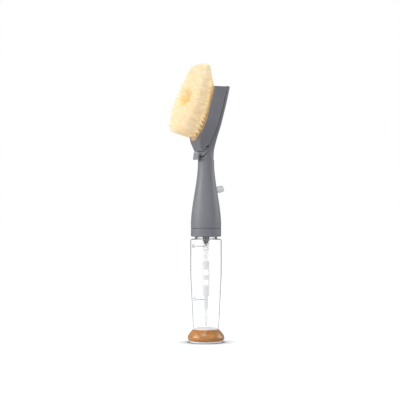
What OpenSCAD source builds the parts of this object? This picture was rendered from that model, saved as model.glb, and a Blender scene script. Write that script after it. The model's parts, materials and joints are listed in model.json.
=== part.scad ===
// Soap dispensing dish wand: a clear screw-on reservoir on a turned wooden base, a flared
// handle with a side pump button, and a slide-off brush block with fanned bristles.
// Millimetres. The origin is the centre of the foot's underside and +Z is up.
// The brush faces -X, the button is on +X, and the XZ plane is the plane of symmetry.

/* [Foot and base] */
// Radius of the foot pad
foot_r = 16.4; // [14:0.1:17]
// Thickness of the foot pad
foot_t = 2; // [1.6:0.1:3]
// Depth of the pocket that holds the foot pad
foot_pocket = 0.6; // [0.3:0.1:1]
// Largest radius of the wooden base
base_r = 18.2; // [17.5:0.1:22]
// Height of the wooden base above the foot pad's pocket rim
base_h = 11.6; // [10:0.1:16]
// Thickness of the white seat disc between base and reservoir
seat_t = 0.8; // [0.5:0.1:2]

/* [Reservoir] */
// Outer radius of the reservoir's upper, straight part
tank_r = 15.7; // [14.5:0.1:18]
// Outer radius of the reservoir at its foot
tank_foot_r = 13; // [11:0.1:14]
// Height of the reservoir from its foot to its shoulder
tank_h = 89.5; // [80:0.5:110]
// Height of the tapering lower part
tank_taper_h = 55; // [40:1:65]
// Wall of the reservoir
tank_wall = 1.3; // [1:0.1:1.8]
// Thickness of the reservoir's floor
tank_floor = 1.4; // [1:0.1:2.5]
// Radius of the shoulder's corner
shoulder_r = 2; // [1:0.1:3]
// Outer radius of the reservoir's neck
neck_finish_r = 11.1; // [10:0.1:12]
// Wall of the reservoir's neck
neck_wall = 1.8; // [1.4:0.1:2.4]
// Height of the neck above the shoulder
neck_finish_h = 10.7; // [9:0.1:14]

/* [Screw thread] */
// Pitch of the thread
thread_pitch = 4; // [3.6:0.1:5]
// Height of the thread's ridge
thread_depth = 1.1; // [0.8:0.1:1.3]
// Width of the thread's ridge at its root
thread_width = 1.6; // [1.2:0.1:1.6]
// Turns of thread on each of the two pieces
thread_turns = 1.25; // [1:0.05:1.4]
// Radial clearance over the thread's crest
thread_clear = 0.3; // [0.2:0.05:0.5]

/* [Collar and handle] */
// Outer radius of the collar and of the handle's lower end
collar_r = 15.2; // [15:0.1:16.5]
// Visible height of the collar
collar_h = 8.1; // [7:0.1:9]
// Gap between the reservoir's shoulder and the collar
collar_gap = 2.2; // [1.5:0.1:4]
// Radius of the handle's neck
neck_r = 8.1; // [8:0.1:9]
// Height of the handle's lower end, up to the narrow neck
flare_h = 66.4; // [60:0.2:80]
// Straight stretch below the flare
flare_start = 2.4; // [1:0.2:6]
// Wall of the handle
handle_wall = 1.6; // [1.3:0.1:2]
// Thickness of the flat gasket under the pump flange
gasket_t = 1.2; // [0.8:0.1:2]
// Thickness of the pump flange
flange_t = 2; // [1.6:0.1:3]

/* [Inlet valve and dip tube] */
// Outer radius of the pump stem and of the valve housing
stem_r = 3.35; // [3.2:0.05:3.8]
// Bore radius of the valve housing
valve_bore_r = 2.4; // [2.35:0.05:2.6]
// Radius of the inlet ball
inlet_ball_r = 2.1; // [1.9:0.05:2.15]
// Height of the inlet ball above its seat when the pump draws
ball_lift = 1.2; // [0.6:0.1:1.6]
// Length of the pump stem below the flange
stem_l = 14.2; // [13:0.1:18]
// Length of the valve housing and its tube
housing_l = 24; // [22:0.5:30]
// Outer radius of the intake tube
intake_r = 2.3; // [2.2:0.05:2.6]
// Bore radius of the intake tube
intake_bore_r = 1.2; // [1:0.05:1.35]
// Outer radius of the intake barrel
barrel_r = 3.45; // [3.3:0.05:4]
// Length of the intake barrel
barrel_l = 34; // [30:0.5:40]
// Width of the barrel's windows
window_w = 4.4; // [3:0.1:4.8]
// Height of the barrel's windows
window_h = 5; // [3:0.1:7]
// Turn of the barrel's windows away from the handle's side in degrees
window_turn = -28; // [-90:1:90]
// Radius of the foot valve's ball
foot_ball_r = 1.7; // [1.4:0.05:1.8]
// Length of the socket for the dip tube
dip_socket_l = 12; // [8:0.5:16]
// Outer radius of the dip tube
dip_r = 1.45; // [1.2:0.05:1.6]
// Bore radius of the dip tube
dip_bore_r = 0.9; // [0.6:0.05:1]
// Gap between the dip tube's end and the reservoir's floor
dip_gap = 0.6; // [0.4:0.1:3]

/* [Button pump] */
// Height of the pump's axis above the collar's top, where it crosses the handle's axis
pump_rise = 36; // [33:0.2:38]
// Upward tilt of the button in degrees
pump_tilt = 11; // [6:0.5:14]
// Bore radius of the pump cylinder
cylinder_bore_r = 3.6; // [3.4:0.05:3.8]
// Wall of the pump cylinder
cylinder_wall = 1.4; // [1:0.1:1.6]
// Radius of the button
button_r = 3.3; // [3:0.05:3.3]
// Reach of the button's tip from the handle's axis
button_reach = 19.8; // [18:0.2:23]
// Travel of the button
button_travel = 4.5; // [3:0.1:4.5]
// Running clearance round the button
button_clear = 0.06; // [0.04:0.01:0.1]
// Distance of the pump's ports from the handle's axis
port_x = 4.2; // [4:0.1:4.4]
// Radius of the outlet ball
outlet_ball_r = 1.5; // [1.2:0.05:1.6]

/* [Brush head] */
// Backward tilt of the brush head in degrees
head_tilt = 16; // [12:0.5:20]
// Length of the brush head along its seam
head_l = 61.4; // [56:0.2:68]
// Largest half width of the brush head
head_w = 18; // [16:0.1:20]
// Half width of the brush head at its top
head_top_w = 16.2; // [14:0.1:18]
// Depth of the brush block
block_d = 14; // [12.5:0.1:17]
// Thickness of the handle's spine behind the block
spine_t = 4.4; // [3.6:0.1:6]
// Height of the scraper lip above the top edge
lip_h = 1.3; // [0.5:0.1:3]
// Clearance between the brush block and the spine
block_clear = 0.3; // [0.2:0.05:0.5]
// Half width of the rail's stem
rail_stem_w = 3.5; // [3:0.1:4]
// Half width of the rail's head
rail_head_w = 6; // [5:0.1:7]
// Depth of the rail's stem and of its head, each
rail_step = 2.2; // [1.8:0.1:2.6]
// Length of the rail
rail_l = 46; // [30:1:50]

/* [Bristles] */
// Length of the bristles
bristle_l = 23.4; // [18:0.2:28]
// Spacing of the tufts
tuft_pitch = 4.15; // [3.9:0.05:5]
// Strands in each tuft
strands = 5; // [3:1:6]
// Splay at the sides of the brush in degrees
side_splay = 21; // [0:1:30]
// Splay at the bottom of the brush in degrees
low_splay = 4; // [0:1:15]
// Splay at the top of the brush in degrees
high_splay = 62; // [20:1:70]
// Radius of the bare patch round the nozzle
nozzle_patch_r = 5.4; // [4:0.2:8]

/* [Release lever] */
// Distance of the lever's pin behind the seam's lower end
pin_inset = 2.1; // [1.8:0.1:2.4]
// Depth of the lever's pin below the seam's lower end
pin_drop = 3.6; // [3.2:0.1:4]
// Reach of the lever's arm from its pin
arm_l = 4; // [3.8:0.1:4.4]
// Drop of the lever's arm from its pin
arm_drop = 4.8; // [4.4:0.1:5.2]
// Reach of the ledge between arm and tab
ledge_l = 3.2; // [2.8:0.1:3.6]
// Rise of the ledge
ledge_rise = 1.2; // [0.8:0.1:1.6]
// Lean of the tab over its length
tab_lean = 0.9; // [0.4:0.1:1.2]
// Radius of the lever's pin
pin_r = 1; // [0.8:0.05:1.2]
// Running clearance round the lever's pin
pin_clear = 0.06; // [0.03:0.01:0.1]
// Half width of the lever's strip
lever_half = 2.05; // [1.8:0.05:2.2]
// Angle that the lever turns when it is pressed
lever_press = 8; // [4:1:8]
// Clearance round the lever
lever_clear = 0.3; // [0.2:0.05:0.4]
// Half width of the lever's tab
tab_w = 4.9; // [4:0.1:5]
// Length of the lever's tab
tab_l = 6; // [5:0.1:7]

/* [Hidden] */
$fn = 64;
eps = 0.01;
// Axial gap that keeps a resting ball off its seat
ball_gap = 0.05;

// Heights of the base and the reservoir
base_z0 = foot_t - foot_pocket;
base_z1 = base_z0 + base_h;
tank_z0 = base_z1 + seat_t;
tank_floor_z = tank_z0 + tank_floor;
shoulder_z = tank_z0 + tank_h;
neck_z = shoulder_z + neck_finish_h;
gasket_z = neck_z;
flange_z0 = gasket_z + gasket_t;
flange_z1 = flange_z0 + flange_t;

// Collar and handle
collar_z0 = shoulder_z + collar_gap;
collar_z1 = collar_z0 + collar_h;
thread_crest_r = neck_finish_r + thread_depth;
collar_bore_r = thread_crest_r + thread_clear;
thread_len = thread_turns * thread_pitch;
thread_z = (collar_z0 + neck_z - thread_len) / 2;
upstand_r = collar_r - handle_wall - 0.1;
// Distance of the air vent's valve from the axis
vent_x = 8.5;
flare_z0 = collar_z1 + flare_start;
flare_z1 = collar_z1 + flare_h;
cavity_z1 = flare_z1 + 5;

// Pump stem, valve housing and intake
stem_z0 = flange_z0 - stem_l;
spigot_l = 2.5;
housing_z0 = stem_z0 - housing_l;
inlet_ball_z = stem_z0 - 7.5;
barrel_z1 = housing_z0 + 3;
barrel_z0 = barrel_z1 - barrel_l;
sleeve_r = intake_r + 0.25;
foot_ball_z = barrel_z0 + 4.2;
// Heights of the two windows' centres
window_z = [mix(barrel_z0, barrel_z1, 0.4), mix(barrel_z0, barrel_z1, 0.7)];
sleeve_z0 = foot_ball_z + 4;
sleeve_wall = 0.85;
dip_socket_z = barrel_z0 - dip_socket_l;
dip_z1 = barrel_z0 - 2;
dip_z0 = tank_floor_z + dip_gap;

// Button pump, whose own frame has its +Z along the button
pump_z = collar_z1 + pump_rise;
cylinder_r = cylinder_bore_r + cylinder_wall;
cylinder_back = -7.6;
cylinder_floor = -6.4;
cylinder_front = 6.6;
piston_face = 1.3;
seal_w = 1.4;
button_bore_r = 2.1;
button_pocket = 6.4;
bush_r = button_r + 1.1;
nipple_r = 1.6;
nipple_bore_r = 0.9;
hub_h = 4;
riser_r = 2.4;
port_rise = port_x * tan(pump_tilt);
riser_z0 = flange_z1 + hub_h + 0.6;
riser_z1 = pump_z - port_rise - cylinder_r - 0.6;
outlet_z0 = pump_z - port_rise + cylinder_r + 0.2;
outlet_z1 = outlet_z0 + 8.6;
outlet_r = 2.6;
outlet_ball_z = outlet_z0 + 3.4;
delivery_r = 2.1;

// Brush head, in a frame with +Z up the seam, -X towards the bristles
head_rise = 16;
head_z = flare_z1 + head_rise;
head_x = -1.3;
seam_slope = tan(head_tilt);
head_top_z = head_z + head_l * cos(head_tilt);
heel_s = -7.6;
heel_d = 6.6;
chin_s = 1.5;
waist_s = -10;
wide_s = 24;
plate_t = 2;
field_margin = 1.3;
root_low = 3.4;
root_high = head_l - block_d * seam_slope - 2.2;
nozzle_s = 30;
// Radius of a strand at its tip, and of the ring of strands in a tuft at root and tip
strand_r = 0.68;
root_spread = 0.8;
tip_spread = 1.6;
channel_r = 1.1;
port_s = 14;
seal_r = 2.2;
seal_wire_r = 0.45;
seal_groove_d = 0.8;
nozzle_r = 2.6;
// How far the nozzle stands out of the block, and how deep its foot goes
nozzle_out = 4.5;
nozzle_in = 6;
rail_s0 = 3;
slot_s1 = rail_s0 + rail_l + block_clear;

// Release lever
pivot_x = head_x - pin_inset;
pivot_z = head_z - pin_drop;
strip_end = [pivot_x - arm_l, pivot_z - arm_drop];
tongue_w = 5;
arm_r = neck_r + 0.1;
tab_top = [strip_end[0] - ledge_l, strip_end[1] + ledge_rise];
tab_foot = [tab_top[0] - tab_lean, tab_top[1] - tab_l];

// A ramp that leaves 0 and reaches 1 without a corner
function smooth(u) = let (v = min(max(u, 0), 1)) v * v * (3 - 2 * v);
function mix(a, b, k) = a + (b - a) * k;
// The larger of two values with the corner rounded by r
function round_max(a, b, r) = (a + b + sqrt((a - b) * (a - b) + r * r)) / 2;
function arc(c, r, a0, a1, n) =
    [for (i = [0:n]) let (a = a0 + (a1 - a0) * i / n) [c[0] + r * cos(a), c[1] + r * sin(a)]];

// Radius of the handle at height z
function handle_r(z) = mix(collar_r, neck_r, smooth((z - flare_z0) / (flare_z1 - flare_z0)));
// Half width of the brush head at length s along its seam
function head_half(s) = s < 35
    ? mix(neck_r - 0.3, head_w, smooth((s - waist_s) / (wide_s - waist_s)))
    : head_w - (head_w - head_top_w) * pow((s - 35) / (head_l - 35), 2);
function seam_x(z) = head_x + (z - head_z) * seam_slope;
function front_x(z) = mix(-neck_r, seam_x(z), smooth((z - head_z + 10) / 11));
function back_x(z) =
    round_max(neck_r - 0.7, seam_x(z) + spine_t / cos(head_tilt),
        mix(1.6, 0.2, smooth((z - head_z - 20) / 20)));

// Points of a closed outline with its own fullness in front and behind
function oval(xf, xm, xb, w, nf, nb, n) = [for (i = [0:n - 1])
    let (a = 360 * (i + 0.5) / n, c = cos(a), s = sin(a), e = c < 0 ? nf : nb,
        half = c < 0 ? xm - xf : xb - xm)
    [xm + half * sign(c) * pow(abs(c), 2 / e), w * sign(s) * pow(abs(s), 2 / e)]];

// A skin stretched over outlines that lie one above the other
module loft(rings) {
    n = len(rings[0]);
    m = len(rings);
    polyhedron(
        points = [for (r = rings) each r],
        faces = concat(
            [[for (j = [0:n - 1]) j]],
            [[for (j = [n - 1:-1:0]) (m - 1) * n + j]],
            [for (i = [0:m - 2], j = [0:n - 1])
                [i * n + (j + 1) % n, i * n + j, (i + 1) * n + j]],
            [for (i = [0:m - 2], j = [0:n - 1])
                [i * n + (j + 1) % n, (i + 1) * n + j, (i + 1) * n + (j + 1) % n]]),
        convexity = 6);
}

module head_frame() {
    translate([head_x, 0, head_z]) rotate([0, head_tilt, 0]) children();
}

module pump_frame() {
    translate([0, 0, pump_z]) rotate([0, 90 - pump_tilt, 0]) children();
}

module tube(r, bore, z0, z1) {
    translate([0, 0, z0]) difference() {
        cylinder(r = r, h = z1 - z0);
        translate([0, 0, -1]) cylinder(r = bore, h = z1 - z0 + 2);
    }
}

// A rounded strip from a to b in the XZ plane, 2w wide along Y
module strip(a, b, r, w) {
    len_ab = norm(b - a);
    turn = atan2(b[1] - a[1], b[0] - a[0]);
    rotate([90, 0, 0]) translate([0, 0, -w]) linear_extrude(height = 2 * w) union() {
        translate(a) circle(r = r);
        translate(b) circle(r = r);
        translate(a) rotate(turn) translate([0, -r]) square([len_ab, 2 * r]);
    }
}

// A helical ridge with sloping flanks, rooted in a wall of radius r
module ridge(r, depth, z, turns, phase) {
    steps = round(36 * turns);
    sink = depth > 0 ? -0.4 : 0.4;
    loft_path([for (i = [0:steps]) let (t = i / steps, a = phase + 360 * turns * t,
        grow = min(1, 10 * t, 10 * (1 - t)), d = 0.1 + (abs(depth) - 0.1) * grow,
        zc = z + thread_pitch * turns * t, tip = r + sign(depth) * d)
        [for (p = [[r + sink, -thread_width / 2], [tip, -thread_width / 4],
            [tip, thread_width / 4], [r + sink, thread_width / 2]])
            [p[0] * cos(a), p[0] * sin(a), zc + p[1]]]], depth > 0);
}

// A skin over outlines that follow a path, turned outwards when flip is true
module loft_path(rings, flip) {
    n = len(rings[0]);
    m = len(rings);
    quads = concat(
        [for (j = [1:n - 2]) [0, j, j + 1]],
        [for (j = [1:n - 2]) [(m - 1) * n, (m - 1) * n + j + 1, (m - 1) * n + j]],
        [for (i = [0:m - 2], j = [0:n - 1])
            [i * n + (j + 1) % n, i * n + j, (i + 1) * n + j]],
        [for (i = [0:m - 2], j = [0:n - 1])
            [i * n + (j + 1) % n, (i + 1) * n + j, (i + 1) * n + (j + 1) % n]]);
    polyhedron(points = [for (r = rings) each r],
        faces = flip ? [for (f = quads) [f[2], f[1], f[0]]] : quads, convexity = 10);
}

module foot_pad() color("gainsboro") rotate_extrude()
    polygon(concat([[0, 0], [foot_r - 0.5, 0]], arc([foot_r - 0.5, 0.5], 0.5, -60, 0, 3),
        [[foot_r, foot_t], [0, foot_t]]));

module bamboo_base() color("peru") difference() {
    rotate_extrude() polygon(concat([[0, base_z0]],
        arc([base_r - 2.6, base_z0 + 2.9], 2.9, -75, 0, 6),
        [for (i = [0:8]) let (u = i / 8)
            [mix(base_r + 0.2, tank_foot_r + 0.3, pow(u, 1.35)), mix(base_z0 + 4, base_z1 - 0.5, u)]],
        [[tank_foot_r, base_z1], [0, base_z1]]));
    translate([0, 0, base_z0 - 1]) cylinder(r = foot_r + 0.1, h = foot_pocket + 1);
}

module seat_disc() color("white")
    translate([0, 0, base_z1]) cylinder(r = tank_foot_r - 0.4, h = seat_t);

module reservoir() color([0.93, 0.95, 0.96, 0.4]) {
    rotate_extrude() polygon(concat(
        [[0, tank_z0], [tank_foot_r - 0.8, tank_z0], [tank_foot_r, tank_z0 + 0.8],
            [tank_r, tank_z0 + tank_taper_h]],
        arc([tank_r - shoulder_r, shoulder_z - shoulder_r], shoulder_r, 0, 90, 5),
        [[neck_finish_r, shoulder_z], [neck_finish_r, neck_z], [neck_finish_r - neck_wall, neck_z],
            [neck_finish_r - neck_wall, shoulder_z - tank_wall],
            [tank_r - shoulder_r, shoulder_z - tank_wall],
            [tank_r - tank_wall, shoulder_z - shoulder_r],
            [tank_r - tank_wall, tank_z0 + tank_taper_h],
            [tank_foot_r - tank_wall, tank_floor_z + 0.8], [tank_foot_r - tank_wall - 0.8, tank_floor_z],
            [0, tank_floor_z]]));
    ridge(neck_finish_r, thread_depth, thread_z, thread_turns, 0);
}

module neck_gasket() color("white")
    tube(collar_bore_r - 0.3, neck_finish_r - neck_wall + 0.2, gasket_z, flange_z0);

module collar() color("slategray") {
    rotate_extrude() polygon(concat(
        [[collar_bore_r, collar_z0]], arc([collar_r - 0.9, collar_z0 + 0.9], 0.9, -90, 0, 4),
        [[collar_r, collar_z1 - 0.3], [collar_r - 0.3, collar_z1], [upstand_r, collar_z1],
            [upstand_r, flange_z0], [collar_bore_r, flange_z0]]));
    ridge(collar_bore_r, -thread_depth, thread_z, thread_turns, 180);
}

// The spine's rail, which the brush block slides on
module rail(grow) {
    translate([-rail_step + grow, -rail_stem_w - grow, rail_s0])
        cube([rail_step + 1, 2 * (rail_stem_w + grow), rail_l]);
    translate([-2 * rail_step - grow, -rail_head_w - grow, rail_s0])
        cube([rail_step + 2 * grow, 2 * (rail_head_w + grow), rail_l]);
}

// Side view of the lever, grown by its clearance where it is cut from the handle
module lever_form(grow) {
    difference() {
        intersection() {
            strip([pivot_x, pivot_z], strip_end, lever_half + grow, arm_r + 2);
            cylinder(r = arm_r + (grow > 0 ? 3 : 0), h = 400);
        }
        translate([strip_end[0] + 2 + grow, -tongue_w - 0.3 + grow, pivot_z - 20])
            cube([20, 2 * (tongue_w + 0.3 - grow), 40]);
    }
    strip([strip_end[0], strip_end[1]], tab_top, 0.9 + grow, tab_w + grow);
    strip(tab_top, tab_foot, 0.75 + grow, tab_w + grow);
}

module at_pivot(angle) {
    translate([pivot_x, 0, pivot_z]) rotate([0, -angle, 0]) translate([-pivot_x, 0, -pivot_z]) children();
}

module handle() color("slategray") difference() {
    union() {
        rotate_extrude() polygon(concat([[0, collar_z1 + 0.2], [collar_r - 0.3, collar_z1 + 0.2],
            [collar_r, collar_z1 + 0.5], [collar_r, flare_z0]],
            [for (i = [1:14]) let (z = mix(flare_z0, flare_z1, i / 14)) [handle_r(z), z]],
            [[neck_r, flare_z1 + 2], [0, flare_z1 + 2]]));
        loft([for (z = concat([flare_z1 + 1], [for (i = [0:8]) mix(flare_z1 + 4, head_z + 4, i / 8)],
                [for (i = [1:9]) mix(head_z + 4, head_top_z, i / 9)]))
            // The lowest outline is drawn in, so that the head leaves the round neck with a clean step
            let (s = (z - head_z) / cos(head_tilt), k = smooth((z - flare_z1 - 3) / 22), xf = front_x(z),
                w = mix(neck_r, head_half(s), smooth((z - flare_z1 - 4) / 8)),
                tuck = z < flare_z1 + 2 ? 0.3 : 0)
            [for (p = oval(xf + tuck, mix(0, xf + 1.3, k), back_x(z) - tuck, w - tuck,
                    mix(2, 7, k), mix(2, 3.4, k), 40))
                [p[0], p[1], z]]]);
        head_frame() rail(0);
        // Scraper lip along the top edge
        translate([back_x(head_top_z), 0, head_top_z]) rotate([90, 0, 0])
            translate([0, 0, -head_top_w * 0.55]) linear_extrude(height = head_top_w * 1.1)
                polygon([[-3.4, -0.6], [-0.2, -0.6], [0.1, lip_h]]);
    }
    // Inner space, with a seat for the pump flange
    rotate_extrude() polygon(concat([[0, collar_z1 - 1], [collar_r - handle_wall, collar_z1 - 1],
        [collar_r - handle_wall, flange_z1], [collar_bore_r - 0.6, flange_z1]],
        [for (i = [2:14]) let (z = mix(flare_z0, flare_z1, i / 14)) [handle_r(z) - handle_wall, z]],
        [[neck_r - handle_wall, cavity_z1], [0, cavity_z1]]));
    pump_frame() cylinder(r = bush_r, h = 40);
    // Recess for the lever over its whole turn
    for (a = [0, lever_press / 2, lever_press]) at_pivot(a) lever_form(lever_clear);
    translate([pivot_x, 0, pivot_z]) rotate([90, 0, 0]) cylinder(r = pin_r, h = 40, center = true);
    translate([pivot_x, 0, pivot_z]) rotate([90, 0, 0]) cylinder(r = 2.3, h = 3.6, center = true);
    // Soap passage up the neck, through the rail and out of its face
    translate([-port_x, 0, cavity_z1 - 1]) cylinder(r = channel_r, h = head_z - cavity_z1 + 1);
    head_frame() translate([-2.4, 0, -4]) cylinder(r = channel_r, h = port_s + 4);
    head_frame() translate([-8, 0, port_s]) rotate([0, 90, 0]) cylinder(r = channel_r, h = 5.6);
    head_frame() translate([-2 * rail_step - 1, 0, port_s]) rotate([0, 90, 0])
        tube(seal_r + 0.5, seal_r - 0.5, 0, 1 + seal_groove_d);
}

module port_seal() color("dimgray") head_frame()
    translate([-2 * rail_step + seal_groove_d - seal_wire_r, 0, port_s]) rotate([0, 90, 0])
        rotate_extrude() translate([seal_r, 0]) circle(r = seal_wire_r, $fn = 20);

module pump_flange() color("slategray") difference() {
    union() {
        translate([0, 0, flange_z0]) cylinder(r = upstand_r - 0.1, h = flange_t);
        translate([0, 0, stem_z0]) cylinder(r = stem_r, h = stem_l + 1);
        translate([0, 0, stem_z0 - spigot_l]) cylinder(r = valve_bore_r, h = spigot_l + 1);
        translate([-port_x - 2.6, -3, flange_z1 - 1]) cube([port_x + 6, 6, hub_h + 1]);
        translate([-port_x, 0, flange_z1]) cylinder(r = nipple_r, h = hub_h + 5);
    }
    translate([0, 0, stem_z0 - spigot_l - 1]) cylinder(r = 1.75, h = spigot_l + 1);
    translate([0, 0, stem_z0 - 1]) cylinder(r = nipple_bore_r, h = stem_l + flange_t + 3);
    translate([-port_x, 0, flange_z1 + 2]) rotate([0, 90, 0]) cylinder(r = nipple_bore_r, h = port_x);
    translate([-port_x, 0, flange_z1 + 2]) cylinder(r = nipple_bore_r, h = 30);
    translate([vent_x, 0, flange_z0 - 1]) cylinder(r = 0.8, h = flange_t + 2);
}

module air_vent() color("white") {
    translate([vent_x, 0, flange_z0 - 0.6]) cylinder(r = 0.75, h = flange_t + 1.2);
    translate([vent_x, 0, flange_z1]) cylinder(r = 1.6, h = 0.6);
}

// Conical seat under a ball, as points of a turned outline from its top down
function seat_top(z, r, bore) = z - r * sqrt(2) + bore;

module valve_housing() color([0.9, 0.91, 0.92, 0.7]) {
    top = stem_z0;
    z = inlet_ball_z;
    rotate_extrude() polygon([[valve_bore_r, top], [stem_r, top], [stem_r, z + 2.5], [stem_r - 0.5, z],
        [intake_r, z - 3.2], [intake_r, housing_z0], [intake_bore_r, housing_z0],
        [intake_bore_r, seat_top(z - ball_gap, inlet_ball_r, intake_bore_r)],
        [valve_bore_r, seat_top(z - ball_gap, inlet_ball_r, valve_bore_r)]]);
}

module inlet_ball() color("whitesmoke") translate([0, 0, inlet_ball_z]) sphere(r = inlet_ball_r);

// A coil spring up the Z axis whose two ends run straight for one wire diameter
function coil_points(spec) =
    let (r = spec[0], wire = spec[1], z0 = spec[2], z1 = spec[3], n = round(spec[4] * 8),
        rise = (z1 - z0 - 2 * wire * 3) / n) concat(
        [[r, 0, z0], [r, 0, z0 + 2 * wire]],
        [for (i = [1:n - 1]) [r * cos(45 * i), r * sin(45 * i), z0 + 3 * wire + i * rise]],
        [[r * cos(45 * n), r * sin(45 * n), z1 - 2 * wire], [r * cos(45 * n), r * sin(45 * n), z1]]);

module coil(spec) {
    r = spec[0];
    wire = spec[1];
    pts = coil_points(spec);
    m = len(pts);
    loft_path([for (i = [0:m - 1])
        let (t = i < 2 || i > m - 3 ? [0, 0, 1]
                : (pts[i + 1] - pts[i - 1]) / norm(pts[i + 1] - pts[i - 1]),
            out = [pts[i][0], pts[i][1], 0] / r, side = cross(t, out), up = side / norm(side),
            o = cross(up, t))
        [for (j = [0:5]) pts[i] + wire * (cos(60 * j) * o + sin(60 * j) * up)]], false);
}

// Least gap between turns of a coil, measured between points more than half a turn apart
function coil_gap(spec) = let (pts = coil_points(spec))
    min([for (i = [0:len(pts) - 1], j = [i + 5:1:len(pts) - 1]) norm(pts[i] - pts[j])]) - 2 * spec[1];

// Coil radius, wire radius, lower end, upper end and turns of each spring
inlet_coil = [1.3, 0.2, inlet_ball_z + inlet_ball_r + 0.05, stem_z0 - 0.05, 5];
return_coil = [1.7, 0.25, cylinder_floor + 0.05, piston_face + button_pocket - 0.05, 9];
lever_coil = [1.55, 0.22, -1.7, 1.7, 2.5];
echo(inlet_spring_gap = coil_gap(inlet_coil), return_spring_gap = coil_gap(return_coil));

module inlet_spring() color("dimgray") coil(inlet_coil);

module return_spring() color("silver") pump_frame() coil(return_coil);

module lower_barrel() color([0.93, 0.94, 0.94, 0.8]) difference() {
    z = foot_ball_z;
    rotate_extrude() polygon([[intake_r, barrel_z1 + 1], [intake_r + 0.5, barrel_z1 + 1],
        [barrel_r, barrel_z1], [barrel_r, barrel_z0 + 0.6], [barrel_r - 0.6, barrel_z0], [dip_r + 0.6, barrel_z0],
        [dip_r + 0.6, dip_socket_z], [dip_r, dip_socket_z], [dip_r, dip_z1], [dip_bore_r, dip_z1],
        [dip_bore_r, seat_top(z - ball_gap, foot_ball_r, dip_bore_r)],
        [foot_ball_r + 0.3, seat_top(z - ball_gap, foot_ball_r, foot_ball_r + 0.3)],
        [foot_ball_r + 0.3, sleeve_z0], [sleeve_r, sleeve_z0], [sleeve_r, housing_z0],
        [intake_r, housing_z0]]);
    for (z = window_z) translate([0, 0, z]) rotate([0, 0, window_turn])
        cube([window_w, 4 * barrel_r, window_h], center = true);
}

module sight_sleeve() color([0.9, 0.93, 0.95, 0.4])
    tube(sleeve_r, sleeve_r - sleeve_wall, sleeve_z0, housing_z0);

module foot_ball() color("whitesmoke") translate([0, 0, foot_ball_z]) sphere(r = foot_ball_r);

module dip_tube() color([0.93, 0.94, 0.95, 0.5]) tube(dip_r, dip_bore_r, dip_z0, dip_z1);

module riser_tube() color("whitesmoke")
    translate([-port_x, 0, 0]) tube(riser_r, nipple_r, riser_z0, riser_z1);

module pump_cylinder() color("whitesmoke") difference() {
    union() {
        pump_frame() translate([0, 0, cylinder_back])
            cylinder(r = cylinder_r, h = cylinder_front - cylinder_back);
        pump_frame() translate([0, 0, cylinder_back - 1.6]) cylinder(r = 2, h = 3);
        translate([-port_x, 0, riser_z1 - 5]) cylinder(r = nipple_r, h = 9);
        translate([-port_x, 0, outlet_z0 - 3]) cylinder(r = outlet_r, h = 3);
    }
    pump_frame() translate([0, 0, cylinder_floor]) cylinder(r = cylinder_bore_r, h = 40);
    translate([-port_x, 0, riser_z1 - 6]) cylinder(r = nipple_bore_r, h = outlet_z0 - riser_z1 + 10);
}

module button() color("whitesmoke") pump_frame() rotate_extrude() polygon(concat(
    [[button_bore_r, piston_face], [button_r, piston_face], [button_r, piston_face + 1],
        [button_r - 0.5, piston_face + 1], [button_r - 0.5, piston_face + 1 + seal_w],
        [button_r, piston_face + 1 + seal_w]],
    arc([button_r - 1.5, button_reach - 1.5], 1.5, 0, 75, 6),
    [[0, button_reach], [0, piston_face + button_pocket], [button_bore_r, piston_face + button_pocket]]));

module plunger_seal() color("dimgray") pump_frame()
    tube(cylinder_bore_r - 0.05, button_r - 0.5, piston_face + 1, piston_face + 1 + seal_w);

module button_bush() color("slategray") pump_frame() difference() {
    translate([0, 0, cylinder_front]) cylinder(r = bush_r, h = 3.6);
    translate([0, 0, cylinder_front - 1]) cylinder(r = button_r + button_clear, h = 6);
}

// Outlet valve, with its foot cut to the pump cylinder's round top
module outlet_body() color("whitesmoke") difference() {
    translate([-port_x, 0, 0]) rotate_extrude() polygon([
        [nipple_bore_r, outlet_z0], [outlet_r, outlet_z0], [outlet_r, outlet_z1 - 1], [nipple_r, outlet_z1],
        [nipple_r, outlet_z1 + 4], [nipple_bore_r, outlet_z1 + 4], [nipple_bore_r, outlet_z1 - 1],
        [outlet_ball_r + 0.3, outlet_z1 - 2],
        [outlet_ball_r + 0.3, seat_top(outlet_ball_z - ball_gap, outlet_ball_r, outlet_ball_r + 0.3)],
        [nipple_bore_r, seat_top(outlet_ball_z - ball_gap, outlet_ball_r, nipple_bore_r)]]);
    pump_frame() translate([0, 0, cylinder_back - 1]) cylinder(r = cylinder_r + eps, h = 40);
}

module outlet_ball() color("whitesmoke") translate([-port_x, 0, outlet_ball_z]) sphere(r = outlet_ball_r);

module delivery_tube() color("whitesmoke")
    translate([-port_x, 0, 0]) tube(delivery_r, nipple_r, outlet_z1 + 0.4, cavity_z1);

module release_lever() color("gray") difference() {
    lever_form(0);
    translate([pivot_x, 0, pivot_z]) rotate([90, 0, 0])
        cylinder(r = pin_r + pin_clear, h = 40, center = true);
}

module lever_pin() color("silver")
    translate([pivot_x, 0, pivot_z]) rotate([90, 0, 0])
        cylinder(r = pin_r, h = 2 * (neck_r - 0.9), center = true);

module lever_spring() color("silver")
    translate([pivot_x, 0, pivot_z]) rotate([90, 0, 0]) coil(lever_coil);

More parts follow.
